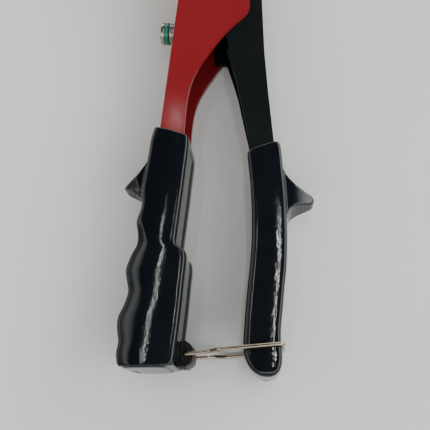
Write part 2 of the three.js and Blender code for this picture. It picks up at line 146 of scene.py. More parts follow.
def rounded(points, steps=8):
    """A closed outline in which each (x, y, radius) corner is rounded."""
    out = []
    for i, point in enumerate(points):
        here = Vector(point[:2])
        radius = point[2] if len(point) > 2 else 0
        if radius == 0:
            out.append(here)
            continue
        a = Vector(points[i - 1][:2]) - here
        b = Vector(points[(i + 1) % len(points)][:2]) - here
        half = a.angle(b) / 2
        reach = min(radius / math.tan(half), a.length * 0.49, b.length * 0.49)
        start = here + a.normalized() * reach
        end = here + b.normalized() * reach
        for k in range(steps + 1):
            t = k / steps
            out.append(start * (1 - t) ** 2 + here * 2 * t * (1 - t) + end * t * t)
    return out


def catmull(p0, p1, p2, p3, t):
    """A centripetal Catmull-Rom point between p1 and p2."""
    t01 = max((p1 - p0).length ** 0.5, 1e-5)
    t12 = max((p2 - p1).length ** 0.5, 1e-5)
    t23 = max((p3 - p2).length ** 0.5, 1e-5)
    m1 = (p2 - p1) + t12 * ((p1 - p0) / t01 - (p2 - p0) / (t01 + t12))
    m2 = (p2 - p1) + t12 * ((p3 - p2) / t23 - (p3 - p1) / (t12 + t23))
    a = 2 * (p1 - p2) + m1 + m2
    b = -3 * (p1 - p2) - 2 * m1 - m2
    return a * t**3 + b * t**2 + m1 * t + p1


def open_spline(points, steps):
    """Points of a smooth open curve through the given ones."""
    pts = [Vector(p) for p in points]
    pts = [pts[0] * 2 - pts[1]] + pts + [pts[-1] * 2 - pts[-2]]
    out = []
    for i in range(1, len(pts) - 2):
        for k in range(steps):
            out.append(catmull(*pts[i - 1 : i + 3], k / steps))
    out.append(pts[-2])
    return out


def closed_spline(points, steps):
    pts = [Vector(p) for p in points]
    n = len(pts)
    return [
        catmull(pts[i - 1], pts[i], pts[(i + 1) % n], pts[(i + 2) % n], k / steps)
        for i in range(n)
        for k in range(steps)
    ]


def even(points, count):
    """The same open curve, sampled at equal distances."""
    lengths = [0.0]
    for a, b in zip(points, points[1:]):
        lengths.append(lengths[-1] + (b - a).length)
    out, i = [], 0
    for k in range(count):
        s = lengths[-1] * k / (count - 1)
        while i < len(points) - 2 and lengths[i + 1] < s:
            i += 1
        span = max(lengths[i + 1] - lengths[i], 1e-9)
        out.append(points[i].lerp(points[i + 1], (s - lengths[i]) / span))
    return out


def prism(name, outline, z0, z1):
    """An upright block on an outline in millimetres, placed from the pivot."""
    bm = bmesh.new()
    low = [bm.verts.new(PIVOT + Vector((p[0], p[1], z0)) * MM) for p in outline]
    high = [bm.verts.new(PIVOT + Vector((p[0], p[1], z1)) * MM) for p in outline]
    n = len(outline)
    bm.faces.new(low[::-1])
    bm.faces.new(high)
    for i in range(n):
        j = (i + 1) % n
        bm.faces.new((low[i], low[j], high[j], high[i]))
    return object_from_bmesh(name, bm)


def rod(name, x, y, radius, z0, z1, segments=48):
    ring = [
        (
            x + radius * math.cos(2 * math.pi * k / segments),
            y + radius * math.sin(2 * math.pi * k / segments),
        )
        for k in range(segments)
    ]
    return prism(name, ring, z0, z1)


def turned(name, profile, origin, direction, segments=96, ripple=None):
    """A turned piece: profile is a closed list of (along, radius) in millimetres.
    ripple(along, radius, angle) is added to the radius, for knurls and flutes."""
    bm = bmesh.new()
    axis = Vector(direction).normalized()
    side = axis.orthogonal().normalized()
    other = axis.cross(side)
    base = PIVOT + Vector(origin) * MM
    rings = []
    for along, radius in profile:
        ring = []
        if radius <= 0:
            ring = [bm.verts.new(base + axis * along * MM)] * segments
        else:
            for k in range(segments):
                angle = 2 * math.pi * k / segments
                r = radius + (ripple(along, radius, angle) if ripple else 0)
                spoke = side * math.cos(angle) + other * math.sin(angle)
                ring.append(bm.verts.new(base + (axis * along + spoke * r) * MM))
        rings.append(ring)
    closed = profile[0][1] > 0
    pairs = list(zip(rings, rings[1:] + rings[:1])) if closed else list(zip(rings, rings[1:]))
    for a, b in pairs:
        for k in range(segments):
            j = (k + 1) % segments
            loop = []
            for v in (a[k], a[j], b[j], b[k]):
                if v not in loop:
                    loop.append(v)
            if len(loop) > 2:
                bm.faces.new(loop)
    return object_from_bmesh(name, bm)


def swept(name, points, radius, sides=20):
    """A round wire through points in metres, with domed ends."""
    bm = bmesh.new()
    count = len(points)
    tangents = [
        (points[min(i + 1, count - 1)] - points[max(i - 1, 0)]).normalized()
        for i in range(count)
    ]
    normal = tangents[0].orthogonal().normalized()
    rings = []

    def ring_at(centre, tangent, r):
        across = tangent.cross(normal).normalized()
        return [
            bm.verts.new(
                centre
                + (
                    normal * math.cos(2 * math.pi * k / sides)
                    + across * math.sin(2 * math.pi * k / sides)
                )
                * r
            )
            for k in range(sides)
        ]

    for k in range(1, 4):
        turn = math.pi / 2 * k / 4
        back = points[0] - tangents[0] * radius * math.cos(turn)
        rings.append(ring_at(back, tangents[0], radius * math.sin(turn)))
    for i in range(count):
        normal = (normal - tangents[i] * normal.dot(tangents[i])).normalized()
        rings.append(ring_at(points[i], tangents[i], radius))
    for k in range(3, 0, -1):
        turn = math.pi / 2 * k / 4
        ahead = points[-1] + tangents[-1] * radius * math.cos(turn)
        rings.append(ring_at(ahead, tangents[-1], radius * math.sin(turn)))
    for a, b in zip(rings, rings[1:]):
        for k in range(sides):
            j = (k + 1) % sides
            bm.faces.new((a[k], a[j], b[j], b[k]))
    bm.faces.new(rings[0][::-1])
    bm.faces.new(rings[-1])
    return object_from_bmesh(name, bm)


def bent(points, bend, steps=10):
    """A polyline with its corners rounded."""
    out = [points[0]]
    for i in range(1, len(points) - 1):
        a, b = points[i - 1] - points[i], points[i + 1] - points[i]
        start = points[i] + a.normalized() * min(bend, a.length * 0.49)
        end = points[i] + b.normalized() * min(bend, b.length * 0.49)
        for k in range(steps + 1):
            t = k / steps
            out.append(start * (1 - t) ** 2 + points[i] * 2 * t * (1 - t) + end * t * t)
    out.append(points[-1])
    return out


def lofted(name, left, right, section, low_round, high_round, nose=0.0):
    """A moulded grip: slices run from points on the left edge to points on the right edge.
    section(share, width) gives a closed list of (across, z) for a slice. nose is the radius of
    the round from the broad faces to the low end."""
    bm = bmesh.new()
    rings = []
    count = len(left)

    def thinned(y):
        reach = min(max((y - left[0].y) / nose, 0), 1) if nose else 1
        return nose * (1 - math.sqrt(1 - (1 - reach) ** 2))

    def ring(i, inset, shift):
        a, b = left[i], right[i]
        across = (b - a).normalized()
        along = Vector((-across.y, across.x))
        start = a + across * inset + along * shift
        width = (b - a).length - 2 * inset
        full = (b - a).length
        pts = []
        for u, z in section(i / (count - 1), full):
            flat = start + across * (u / full) * width
            squeeze = 1 - (inset + thinned(flat.y)) / 14.0
            pts.append(bm.verts.new(PIVOT + Vector((flat.x, flat.y, z * squeeze)) * MM))
        return pts

    steps = 6
    for k in range(steps):
        turn = math.pi / 2 * k / steps
        rings.append(ring(0, low_round * (1 - math.sin(turn)), low_round * (1 - math.cos(turn))))
    for i in range(1, count - 1):
        rings.append(ring(i, 0, 0))
    for k in range(steps - 1, -1, -1):
        turn = math.pi / 2 * k / steps
        inset = high_round * (1 - math.sin(turn))
        rings.append(ring(count - 1, inset, -high_round * (1 - math.cos(turn))))
    size = len(rings[0])
    for a, b in zip(rings, rings[1:]):
        for k in range(size):
            j = (k + 1) % size
            bm.faces.new((a[k], a[j], b[j], b[k]))
    bm.faces.new(rings[0][::-1])
    bm.faces.new(rings[-1])
    return object_from_bmesh(name, bm)


def tapered(name, outline, root, tip):
    """A finger guard: its faces slope from the half thickness at the root to that at the tip."""
    bm = bmesh.new()
    low, high = [], []
    for p in outline:
        share = min(max((p.x - root[0]) / (tip[0] - root[0]), 0), 1)
        half = root[1] + (tip[1] - root[1]) * share**1.5
        low.append(bm.verts.new(PIVOT + Vector((p.x, p.y, -half)) * MM))
        high.append(bm.verts.new(PIVOT + Vector((p.x, p.y, half)) * MM))
    n = len(outline)
    for i in range(n):
        j = (i + 1) % n
        bm.faces.new((low[i], low[j], high[j], high[i]))
    caps = [bm.faces.new(low[::-1]), bm.faces.new(high)]
    bmesh.ops.triangulate(bm, faces=caps)
    return object_from_bmesh(name, bm)


def fused(name, parts, voxel, relax=4):
    """Several closed solids as one moulded skin with soft inner corners."""
    bm = bmesh.new()
    for part in parts:
        bm.from_mesh(part.data)
        mesh = part.data
        bpy.data.objects.remove(part)
        bpy.data.meshes.remove(mesh)
    whole = object_from_bmesh(name, bm)
    mod = whole.modifiers.new("fuse", "REMESH")
    mod.mode = "VOXEL"
    mod.voxel_size = voxel * MM
    apply_modifiers(whole)
    mod = whole.modifiers.new("relax", "SMOOTH")
    mod.factor = 0.5
    mod.iterations = relax
    apply_modifiers(whole)
    whole.data.shade_smooth()
    return whole


# ------------------------------------------------------------------ materials


class Nodes:
    """A material's node tree, with short calls to add and join nodes."""

    def __init__(self, name):
        self.material = bpy.data.materials.new(name)
        self.material.use_nodes = True
        self.tree = self.material.node_tree
        self.tree.nodes.clear()
        self.out = self.add("ShaderNodeOutputMaterial")
        self.bsdf = self.add("ShaderNodeBsdfPrincipled")
        self.join(self.bsdf.outputs["BSDF"], self.out.inputs["Surface"])
        self.place = self.add("ShaderNodeTexCoord").outputs["Object"]

    def add(self, kind, **values):
        node = self.tree.nodes.new(kind)
        for key, value in values.items():
            setattr(node, key, value)
        return node

    def join(self, a, b):
        self.tree.links.new(a, b)

    def put(self, socket, value):
        self.bsdf.inputs[socket].default_value = value

    def noise(self, scale, detail=2.0, rough=0.5, stretch=None):
        node = self.add("ShaderNodeTexNoise")
        node.inputs["Scale"].default_value = scale
        node.inputs["Detail"].default_value = detail
        node.inputs["Roughness"].default_value = rough
        place = self.place
        if stretch:
            mapping = self.add("ShaderNodeMapping")
            mapping.inputs["Scale"].default_value = stretch
            self.join(place, mapping.inputs["Vector"])
            place = mapping.outputs["Vector"]
        self.join(place, node.inputs["Vector"])
        return node.outputs["Fac"]

    def ramp(self, value, stops):
        node = self.add("ShaderNodeValToRGB")
        while len(node.color_ramp.elements) < len(stops):
            node.color_ramp.elements.new(0.5)
        for element, (position, colour) in zip(node.color_ramp.elements, stops):
            element.position = position
            element.color = (*colour, 1) if len(colour) == 3 else colour
        self.join(value, node.inputs["Fac"])
        return node.outputs["Color"]

    def span(self, value, low, high, from_low=0.3, from_high=0.7):
        node = self.add("ShaderNodeMapRange")
        node.inputs["From Min"].default_value = from_low
        node.inputs["From Max"].default_value = from_high
        node.inputs["To Min"].default_value = low
        node.inputs["To Max"].default_value = high
        self.join(value, node.inputs["Value"])
        return node.outputs["Result"]

    def bump(self, height, strength, distance, under=None):
        node = self.add("ShaderNodeBump")
        node.inputs["Strength"].default_value = strength
        node.inputs["Distance"].default_value = distance
        self.join(height, node.inputs["Height"])
        if under is not None:
            self.join(under, node.inputs["Normal"])
        self.join(node.outputs["Normal"], self.bsdf.inputs["Normal"])
        return node.outputs["Normal"]


def red_paint():
    n = Nodes("red_paint")
    broad = n.noise(22, 3, 0.55)
    colour = n.ramp(broad, [(0.25, (0.200, 0.0125, 0.016)), (0.75, (0.228, 0.0150, 0.019))])
    n.join(colour, n.bsdf.inputs["Base Color"])
    fine = n.noise(260, 3, 0.6)
    n.join(n.span(fine, 0.10, 0.13), n.bsdf.inputs["Roughness"])
    n.put("Specular IOR Level", 0.65)
    peel = n.noise(620, 2, 0.5)
    n.bump(peel, 0.05, 0.0001)
    return n.material


def black_coat():
    n = Nodes("black_coat")
    broad = n.noise(30, 3, 0.6)
    colour = n.ramp(broad, [(0.3, (0.0040, 0.0058, 0.0065)), (0.7, (0.0056, 0.0078, 0.0086))])
    n.join(colour, n.bsdf.inputs["Base Color"])
    n.join(n.span(n.noise(180, 3, 0.6), 0.27, 0.32), n.bsdf.inputs["Roughness"])
    n.put("Specular IOR Level", 0.22)
    n.bump(n.noise(900, 1, 0.5), 0.05, 0.0001)
    return n.material


def vinyl():
    n = Nodes("grip_vinyl")
    broad = n.noise(26, 4, 0.6)
    colour = n.ramp(broad, [(0.3, (0.0035, 0.0050, 0.0075)), (0.7, (0.0060, 0.0075, 0.0100))])
    n.join(colour, n.bsdf.inputs["Base Color"])
    n.join(n.span(n.noise(90, 4, 0.6), 0.04, 0.07), n.bsdf.inputs["Roughness"])
    n.put("Specular IOR Level", 0.3)
    low = n.bump(n.noise(110, 2, 0.5), 0.05, 0.0003)
    cells = n.add("ShaderNodeTexVoronoi", feature="SMOOTH_F1")
    cells.inputs["Scale"].default_value = 900
    cells.inputs["Smoothness"].default_value = 0.6
    n.join(n.place, cells.inputs["Vector"])
    peel = n.bump(cells.outputs["Distance"], 0.22, 0.0001, low)
    n.bump(n.noise(1500, 1, 0.4), 0.12, 0.00006, peel)
    return n.material


def moulded_black():
    n = Nodes("lug_plastic")
    colour = n.ramp(n.noise(60, 3), [(0.3, (0.003, 0.003, 0.004)), (0.7, (0.005, 0.005, 0.006))])
    n.put("Specular IOR Level", 0.22)
    n.join(colour, n.bsdf.inputs["Base Color"])
    n.join(n.span(n.noise(300, 3), 0.32, 0.46), n.bsdf.inputs["Roughness"])
    n.bump(n.noise(1400, 2), 0.2, 0.0001)
    return n.material


def metal(name, dark, light, rough, grain=(1, 1, 1), scale=400, strength=0.12):
    n = Nodes(name)
    colour = n.ramp(n.noise(90, 4, 0.6), [(0.3, dark), (0.7, light)])
    n.join(colour, n.bsdf.inputs["Base Color"])
    n.put("Metallic", 1.0)
    streak = n.noise(scale, 4, 0.6, stretch=grain)
    n.join(n.span(streak, rough[0], rough[1]), n.bsdf.inputs["Roughness"])
    n.bump(streak, strength, 0.0002)
    return n.material


def ring_plastic(name, low, high):
    n = Nodes(name)
    colour = n.ramp(n.noise(140, 3), [(0.3, low), (0.7, high)])
    n.join(colour, n.bsdf.inputs["Base Color"])
    n.join(n.span(n.noise(500, 2), 0.24, 0.36), n.bsdf.inputs["Roughness"])
    n.put("Subsurface Weight", 0.1)
    n.put("Subsurface Radius", (0.001, 0.001, 0.001))
    n.bump(n.noise(900, 2), 0.12, 0.0001)
    return n.material


LOOKS = {
    "red_paint": red_paint(),
    "black_coat": black_coat(),
    "grip_black": vinyl(),
    "lug_black": moulded_black(),
    "plated_steel": metal("plated_steel", (0.36, 0.35, 0.31), (0.48, 0.47, 0.42), (0.20, 0.34)),
    "plated_wire": metal("plated_wire", (0.26, 0.215, 0.165), (0.38, 0.32, 0.25), (0.14, 0.24)),
    "steel": metal("machined_steel", (0.30, 0.30, 0.31), (0.42, 0.42, 0.43), (0.28, 0.42)),
    "hardened_steel": metal("dark_steel", (0.07, 0.07, 0.08), (0.12, 0.12, 0.13), (0.3, 0.45)),
    "spring_steel": metal("spring_steel", (0.28, 0.28, 0.29), (0.4, 0.4, 0.41), (0.22, 0.34)),
    "zinc": metal("cast_zinc", (0.34, 0.34, 0.35), (0.46, 0.46, 0.47), (0.4, 0.55), strength=0.3),
    "ring_spare": ring_plastic("ring_green", (0.002, 0.17, 0.085), (0.004, 0.24, 0.12)),
    "ring_fitted": ring_plastic("ring_yellow", (0.52, 0.30, 0.01), (0.64, 0.38, 0.015)),
}


def dressed(obj, body, slot, *nodes):
    """Hangs a finished piece on its body in place of its CAD nodes."""
    obj.data.materials.clear()
    obj.data.materials.append(LOOKS[slot])
    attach(obj, body)
    if nodes:
        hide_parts(*nodes)
    return obj


# ------------------------------------------------------------------ body shell

TANG_END = -222
wall_curve = even(
    open_spline(
        [
            (11.55, -50.5),
            (11.2, -53.4),
            (9.6, -56.8),
            (6.4, -60.2),
            (1.8, -64.6),
            (-2.8, -69.8),
            (-7.2, -75.9),
            (-11.3, -82.2),
            (-15.4, -89.0),
            (-18.9, -96.6),
            (-21.1, -104.6),
            (-22.3, -114.0),
            (-22.9, -124.0),
            (-23.4, -134.0),
        ],
        10,
    ),
    90,
)
body_outline = rounded(
    [
        (spine_x(TANG_END), TANG_END, 3),
        (spine_x(-9), -9, 16),
        (-48, -2, 3),
        (-48, 21.7, 4),
        (-14, 22.5, 60),
        (32, 22.5, 7),
        (32, -3, 6),
        (11.5, -15, 18),
        *wall_curve,
        (-25.8, -160),
        (-27.4, -180),
        (-27.8, TANG_END, 3),
    ]
)
body_hollow = rounded(
    [
        (spine_x(-240) + SHEET, -240),
        (spine_x(-11) + SHEET, -11, 15),
        (-46, 0.2, 2),
        (-46, 20.5, 2),
        (42, 20.5),
        (42, -240),
    ]
)


def fold(obj, near, radius, segments=6):
    """Rounds the long edges where the sheet is bent; near(x, y) picks them."""
    bm = bmesh.new()
    bm.from_mesh(obj.data)
    picked = []
    for edge in bm.edges:
        a, b = ((v.co - PIVOT) / MM for v in edge.verts)
        if abs(a.z - b.z) < 1e-3 and abs(a.z) > 5 and near(a) and near(b):
            picked.append(edge)
    bmesh.ops.bevel(
        bm,
        geom=picked,
        offset=radius * MM,
        segments=segments,
        profile=0.5,
        affect="EDGES",
        clamp_overlap=True,
    )
    bm.to_mesh(obj.data)
    bm.free()
    return obj


def on_spine(p, slack=0.6):
    front = p.x < -24.5 and p.y > -24
    return front or abs(p.x - spine_x(p.y)) < slack


def on_inner_spine(p):
    return abs(p.x - SHEET - spine_x(p.y)) < 0.8 or (p.x < -24 and p.y > -24)


shell = prism("body_sheet", body_outline, -BODY_HALF, BODY_HALF)
fold(shell, on_spine, 2.8)
hollow = prism("body_void", body_hollow, -BODY_INNER, BODY_INNER)
fold(hollow, on_inner_spine, 1.0, 3)
cuts = [hollow, rod("pivot_hole", 0, 0, 3.55, -14, 14)]
for x in (-41, 27.6):
    cuts.append(rod("rivet_hole", x, ARM, 2.25, 8.0, 14, 32))
    cuts.append(rod("rivet_hole", x, ARM, 2.25, -14, -8.0, 32))
axis_x = Vector((1, 0, 0))
cuts.append(turned("barrel_hole", [(-50, 0), (-50, 8.1), (-44, 8.1), (-44, 0)], (0, ARM, 0), axis_x))
out_dir = Vector((-1, SPINE_SLOPE, 0)).normalized()
spare_at = (spine_x(SPARE_Y), SPARE_Y, 0)
cuts.append(turned("spare_hole", [(-4, 0), (-4, 5.3), (2, 5.3), (2, 0)], spare_at, out_dir))
boolean(shell, cuts)
bevel(shell, 0.4, 2, 45)
smooth_by_angle(shell, 30)
flat_faces(shell)
dressed(shell, "body", "red_paint", "body_shell")

# ------------------------------------------------------------------ lever

slot_dir = Vector((math.sin(HALF_SWING), math.cos(HALF_SWING)))
slot_side = Vector((slot_dir.y, -slot_dir.x))


def ear(out, side):
    return tuple(slot_dir * out + slot_side * side)


lever_outline = rounded(
    [
        (*ear(16, 5.4), 2.4),
        (12.0, -12, 10),
        (17.9, -34, 8),
        (18.3, -82, 40),
        (19.3, -105, 40),
        (21.2, -136, 30),
        (23.0, -172, 60),
        (19.6, -215, 30),
        (17.2, -238, 3),
        (7.0, -236, 3),
        (8.4, -215, 30),
        (11.6, -178, 60),
        (8.6, -130, 60),
        (2.9, -97, 60),
        (-2.7, -75.3, 2),
        (-9.6, -75, 2.5),
        (-10.4, -40, 30),
        (-9.4, 0.5, 9),
        (*ear(16, -5.4), 2.4),
    ]
)
lever_hollow = rounded(
    [
        (-30, 30),
        (10, 30),
        (15.9, -34, 4),
        (16.3, -82, 40),
        (17.3, -105, 40),
        (19.2, -136, 30),
        (21.0, -172, 60),
        (17.6, -215, 30),
        (15.0, -250),
        (-30, -250),
    ]
)
slot_half = 2.9
slot_outline = rounded(
    [
        (*ear(7.2, -slot_half), 2.6),
        (*ear(7.2, slot_half), 2.6),
        ear(20, slot_half),
        ear(20, -slot_half),
    ]
)


def on_lever_spine(p):
    return p.y < -24 and p.y > -236 and p.x > 14.0


# the near wall's wide part ends higher up than the far wall's
notch_outline = [(-13, -78), (-0.4, -78), (-0.9, -75), (-3.1, -62), (-13, -62)]
lever = prism("lever_sheet", lever_outline, -LEVER_HALF, LEVER_HALF)
fold(lever, on_lever_spine, 2.4)
boolean(
    lever,
    [
        prism("lever_void", lever_hollow, -LEVER_INNER, LEVER_INNER),
        prism("ear_void", [(-20, -20), (30, -20), (30, 40), (-20, 40)], -LEVER_INNER, LEVER_INNER),
        rod("lever_bore", 0, 0, 3.58, -12, 12),
        prism("lever_slot", slot_outline, -12, 12),
        prism("lever_notch", notch_outline, 7, 12),
    ],
)
bevel(lever, 0.4, 2, 45)
smooth_by_angle(lever, 30)
flat_faces(lever)
dressed(lever, "lever", "black_coat", "lever")

# ------------------------------------------------------------------ grips


def grip_section(half, right_round, left_profile, crown, ridge, recess=None):
    """A closed slice of a grip: (across, z) points. left_profile gives the facet's width and drop
    and the radius of its outer edge; ridge is where the crowned face is highest, as a share."""

    def section(share, width):
        rr = right_round(share)
        facet, drop, rl = left_profile(share, width)
        top = []
        for k in range(9):
            turn = math.pi / 2 * k / 8
            top.append((width - rr * (1 - math.cos(turn)), half - rr * (1 - math.sin(turn))))
        for k in range(1, 16):
            top.append((width - rr - (width - facet - rr) * k / 16, half))
        for k in range(9):
            t = k / 8
            top.append((facet - (facet - rl) * t, half - drop * t**1.5))
        for k in range(1, 9):
            turn = math.pi / 2 * (1 - k / 8)
            top.append((rl * (1 - math.cos(turn)), half - drop - rl * (1 - math.sin(turn))))
        peak = ridge(share)
        crowned = []
        for u, z in top:
            off = (u / width - peak) * 2
            crowned.append((u, z - crown * off * off))
        left_wall = [(0.0, z) for z in (half * 0.4, 0.0, -half * 0.4)]
        depth = recess(share) if recess else 0.0
        right_wall = [
            (width, -half * 0.52),
            (width - depth, -half * 0.44),
            (width - depth, 0.0),
            (width - depth, half * 0.44),
            (width, half * 0.52),
        ]
        below = [(u, -z) for u, z in reversed(crowned)]
        return crowned + left_wall + below + right_wall

    return section


fixed_left = [
    (-47.4, -242.6),
    (-50.2, -240.8),
    (-51.4, -235.5),
    (-50.8, -230.5),
    (-52.0, -224.5),
    (-51.9, -219.5),
    (-49.2, -213.5),
    (-47.7, -208.0),
    (-48.8, -202.0),
    (-49.4, -197.5),
    (-47.4, -191.0),
    (-44.6, -185.5),
    (-44.4, -180.5),
    (-45.2, -175.0),
    (-43.8, -170.0),
    (-43.1, -165.5),
    (-43.3, -159.0),
    (-42.4, -150.0),
    (-41.2, -140.0),
    (-40.2, -130.5),
    (-38.6, -123.4),
]
fixed_right = [
    (-28.4, -242.3),
    (-25.6, -240.6),
    (-24.6, -235.0),
    (-23.9, -229.5),
    (-23.3, -223.5),
    (-22.7, -217.5),
    (-22.2, -212.0),
    (-21.7, -206.0),
    (-21.2, -200.0),
    (-20.8, -195.0),
    (-21.3, -190.6),
    (-25.3, -187.0),
    (-25.2, -181.5),
    (-24.6, -175.5),
    (-24.0, -170.0),
    (-23.5, -165.0),
    (-22.8, -159.0),
    (-22.0, -150.0),
    (-21.2, -142.0),
    (-20.7, -136.0),
    (-20.7, -131.0),
]
SLICES = 150
GRIP_VOXEL = 0.4
GRIP_RELAX = 8
fixed_left_edge = even(open_spline(fixed_left, 10), SLICES * 2)
fixed_right_edge = even(open_spline(fixed_right, 10), SLICES * 2)


def at_height(edge, y):
    """The edge's point at a height, so that slices stay level."""
    for a, b in zip(edge, edge[1:]):
        if (a.y - y) * (b.y - y) <= 0 and abs(a.y - b.y) > 1e-9:
            return a.lerp(b, (y - a.y) / (b.y - a.y))
    return edge[0] if abs(edge[0].y - y) < abs(edge[-1].y - y) else edge[-1]


def level_slices(left, right, low, high_left, high_right, count, ease=1.0):
    """Slices that are level at the low end and follow the slanted mouth at the high end.
    An ease above 1 sets them closer together at the low end."""
    a, b = [], []
    for k in range(count):
        t = (k / (count - 1)) ** ease
        a.append(at_height(left, low + (high_left - low) * t))
        b.append(at_height(right, low + (high_right - low) * t))
    return a, b


def step_up(share, start, end):
    t = min(max((share - start) / (end - start), 0), 1)
    return t * t * (3 - 2 * t)


FIXED_END, FIXED_MOUTH_LEFT, FIXED_MOUTH_RIGHT = -242.2, -123.6, -131.0
fixed_slices = level_slices(
    fixed_left_edge, fixed_right_edge, FIXED_END, FIXED_MOUTH_LEFT, FIXED_MOUTH_RIGHT, SLICES
)


def fixed_facet(share, width):
    """The finger side is flattened below the guard, where the face ends on a near-straight line."""
    y = FIXED_END + share * (FIXED_MOUTH_RIGHT - FIXED_END)
    line = -39.3 - 4.0 * step_up(-y, 220, 241)
    left = at_height(fixed_left_edge, y).x
    lower = 1 - step_up(share, 0.5, 0.62)
    facet = max((line - left) * lower + 2.6 * (1 - lower), 2.2)
    return facet, 0.30 * facet * lower, 1.4 + 0.8 * (1 - lower)


fixed_section = grip_section(
    FIXED_GRIP_HALF,
    lambda s: 2.2,
    fixed_facet,
    1.1,
    lambda s: 0.485 + 0.26 * s,
    lambda s: 0.7 * (step_up(s, 0.04, 0.07) - step_up(s, 0.94, 0.97)),
)
fixed_body = lofted("fixed_grip_main", *fixed_slices, fixed_section, 1.5, 0.8)
guard_outline = closed_spline(
    [
        (-36.0, -138.0),
        (-42.0, -144.6),
        (-45.7, -148.8),
        (-50.0, -151.6),
        (-53.2, -153.3),
        (-53.9, -154.4),
        (-52.6, -155.4),
        (-48.6, -156.6),
        (-45.2, -158.8),
        (-43.2, -162.6),
        (-38.0, -170.0),
        (-33.0, -155.0),
    ],
    6,
)
guard = tapered("fixed_guard", guard_outline, (-41.5, 11.4), (-53.9, 3.4))
fixed_grip = fused("fixed_grip_vinyl", [fixed_body, guard], GRIP_VOXEL, GRIP_RELAX)
boolean(
    fixed_grip,
    [prism("end_slot", [(-47.4, -246), (-44, -246), (-44, -240), (-47.4, -240)], -11.5, -0.5)],
)
fixed_grip.data.shade_smooth()
dressed(fixed_grip, "body", "grip_black", "fixed_grip")

lever_left = [
    (13.6, -246.4),
    (10.6, -245.6),
    (7.6, -243.4),
    (5.5, -240.2),
    (4.4, -236.4),
    (4.2, -232.5),
    (4.6, -227.0),
    (5.5, -217.5),
    (6.8, -206.0),
    (8.1, -195.0),
    (8.9, -185.5),
    (9.25, -175.0),
    (9.2, -163.5),
    (8.7, -152.0),
    (8.0, -142.0),
    (8.3, -139.3),
]
lever_right = [
    (15.4, -246.4),
    (18.0, -245.3),
    (19.9, -242.8),
    (20.7, -239.2),
    (20.7, -235.0),
    (20.5, -230.5),
    (21.0, -224.0),
    (21.9, -217.5),
    (23.3, -206.5),
    (24.3, -199.5),
    (24.9, -192.5),
    (25.4, -184.0),
    (25.6, -176.0),
    (25.6, -163.0),
    (25.0, -150.0),
    (24.2, -137.0),
    (23.4, -134.9),
]
lever_left_edge = even(open_spline(lever_left, 10), SLICES * 2)
lever_right_edge = even(open_spline(lever_right, 10), SLICES * 2)
lever_slices = level_slices(lever_left_edge, lever_right_edge, -246.3, -139.3, -135.0, SLICES, 1.35)


def lever_facet(share, width):
    grown = step_up(share, 0.0, 0.09)
    return 1.3 + 0.7 * grown, 0.35 * grown, 1.1 + 0.5 * grown


lever_section = grip_section(
    LEVER_GRIP_HALF,
    lambda s: 1.3 + 0.6 * step_up(s, 0.0, 0.09),
    lever_facet,
    0.42,
    lambda s: 0.5,
)
lever_body = lofted("lever_grip_main", *lever_slices, lever_section, 0.1, 0.9, 3.2)
guard_outline = closed_spline(
    [
        (19.0, -146.0),
        (24.6, -149.2),
        (26.6, -153.0),
        (30.6, -157.4),
        (34.8, -160.4),
        (38.2, -162.4),
        (39.2, -164.2),
        (38.2, -166.2),
        (34.6, -167.2),
        (30.6, -168.2),
        (27.6, -170.0),
        (25.8, -173.6),
        (24.6, -180.0),
        (19.0, -184.0),
    ],
    6,
)
guard = tapered("lever_guard", guard_outline, (24.6, 9.8), (39.2, 3.2))
lever_grip = fused("lever_grip_vinyl", [lever_body, guard], GRIP_VOXEL, GRIP_RELAX)
vent = turned("vent", [(-3, 0), (-3, 1.5), (8, 1.5), (8, 0)], (13.4, -243, -7.4), (0, -1, 0), 32)
boolean(lever_grip, [vent])
lever_grip.data.shade_smooth()
dressed(lever_grip, "lever", "grip_black", "lever_grip")

# ------------------------------------------------------------------ latch

lug_half = LATCH_NECK - WIRE_R - 0.5
lx, ly = ((LATCH - PIVOT) / MM).xy
lug_outline = rounded(
    [
        (-26.5, -230.6, 1.5),
        (lx + 3.4, -230.6, 5.1),
        (lx + 3.4, -241.0, 5.1),
        (-26.5, -241.0, 1.5),
    ]
)
lug = prism("lug_main", lug_outline, -lug_half, lug_half)
ribs = [
    prism(
        "lug_rib",
        [(x - 0.45, -241.5), (x + 0.45, -241.5), (x + 0.45, -230.3), (x - 0.45, -230.3)],
        -lug_half,
        lug_half + 0.3,
    )
    for x in (-24.6, -22.9, -21.2)
]
boolean(lug, ribs, "UNION")
boolean(lug, [rod("lug_bore", lx, ly, WIRE_R + 0.1, -8, 8, 32)])
bevel(lug, 0.35, 2, 40)
smooth_by_angle(lug, 40)
dressed(lug, "body", "lug_black", "latch_lug")


def on_latch(along, z):
    reach = Vector((math.cos(LATCH_TILT), math.sin(LATCH_TILT), 0)) * along
    return LATCH + (reach + Vector((0, 0, z))) * MM


wire_path = bent(
    [
        on_latch(0, lug_half - 1.6),
        on_latch(0, LATCH_NECK),
        on_latch(10.5, LATCH_NECK),
        on_latch(16.5, LATCH_HALF),
        on_latch(LATCH_REACH, LATCH_HALF),
        on_latch(LATCH_REACH, -LATCH_HALF),
        on_latch(16.5, -LATCH_HALF),
        on_latch(10.5, -LATCH_NECK),
        on_latch(0, -LATCH_NECK),
        on_latch(0, -lug_half + 1.6),
    ],
    2.4 * MM,
)
loop = swept("latch_wire", wire_path, WIRE_R * MM)
smooth_by_angle(loop, 60)
dressed(loop, "latch", "plated_wire", "latch_loop")

# ------------------------------------------------------------------ nosepieces and head


def flange_flutes(along, radius, angle):
    if -4.6 < along < -2.5 and radius > 5.5:
        return 0.04 * math.cos(48 * angle)
    return 0


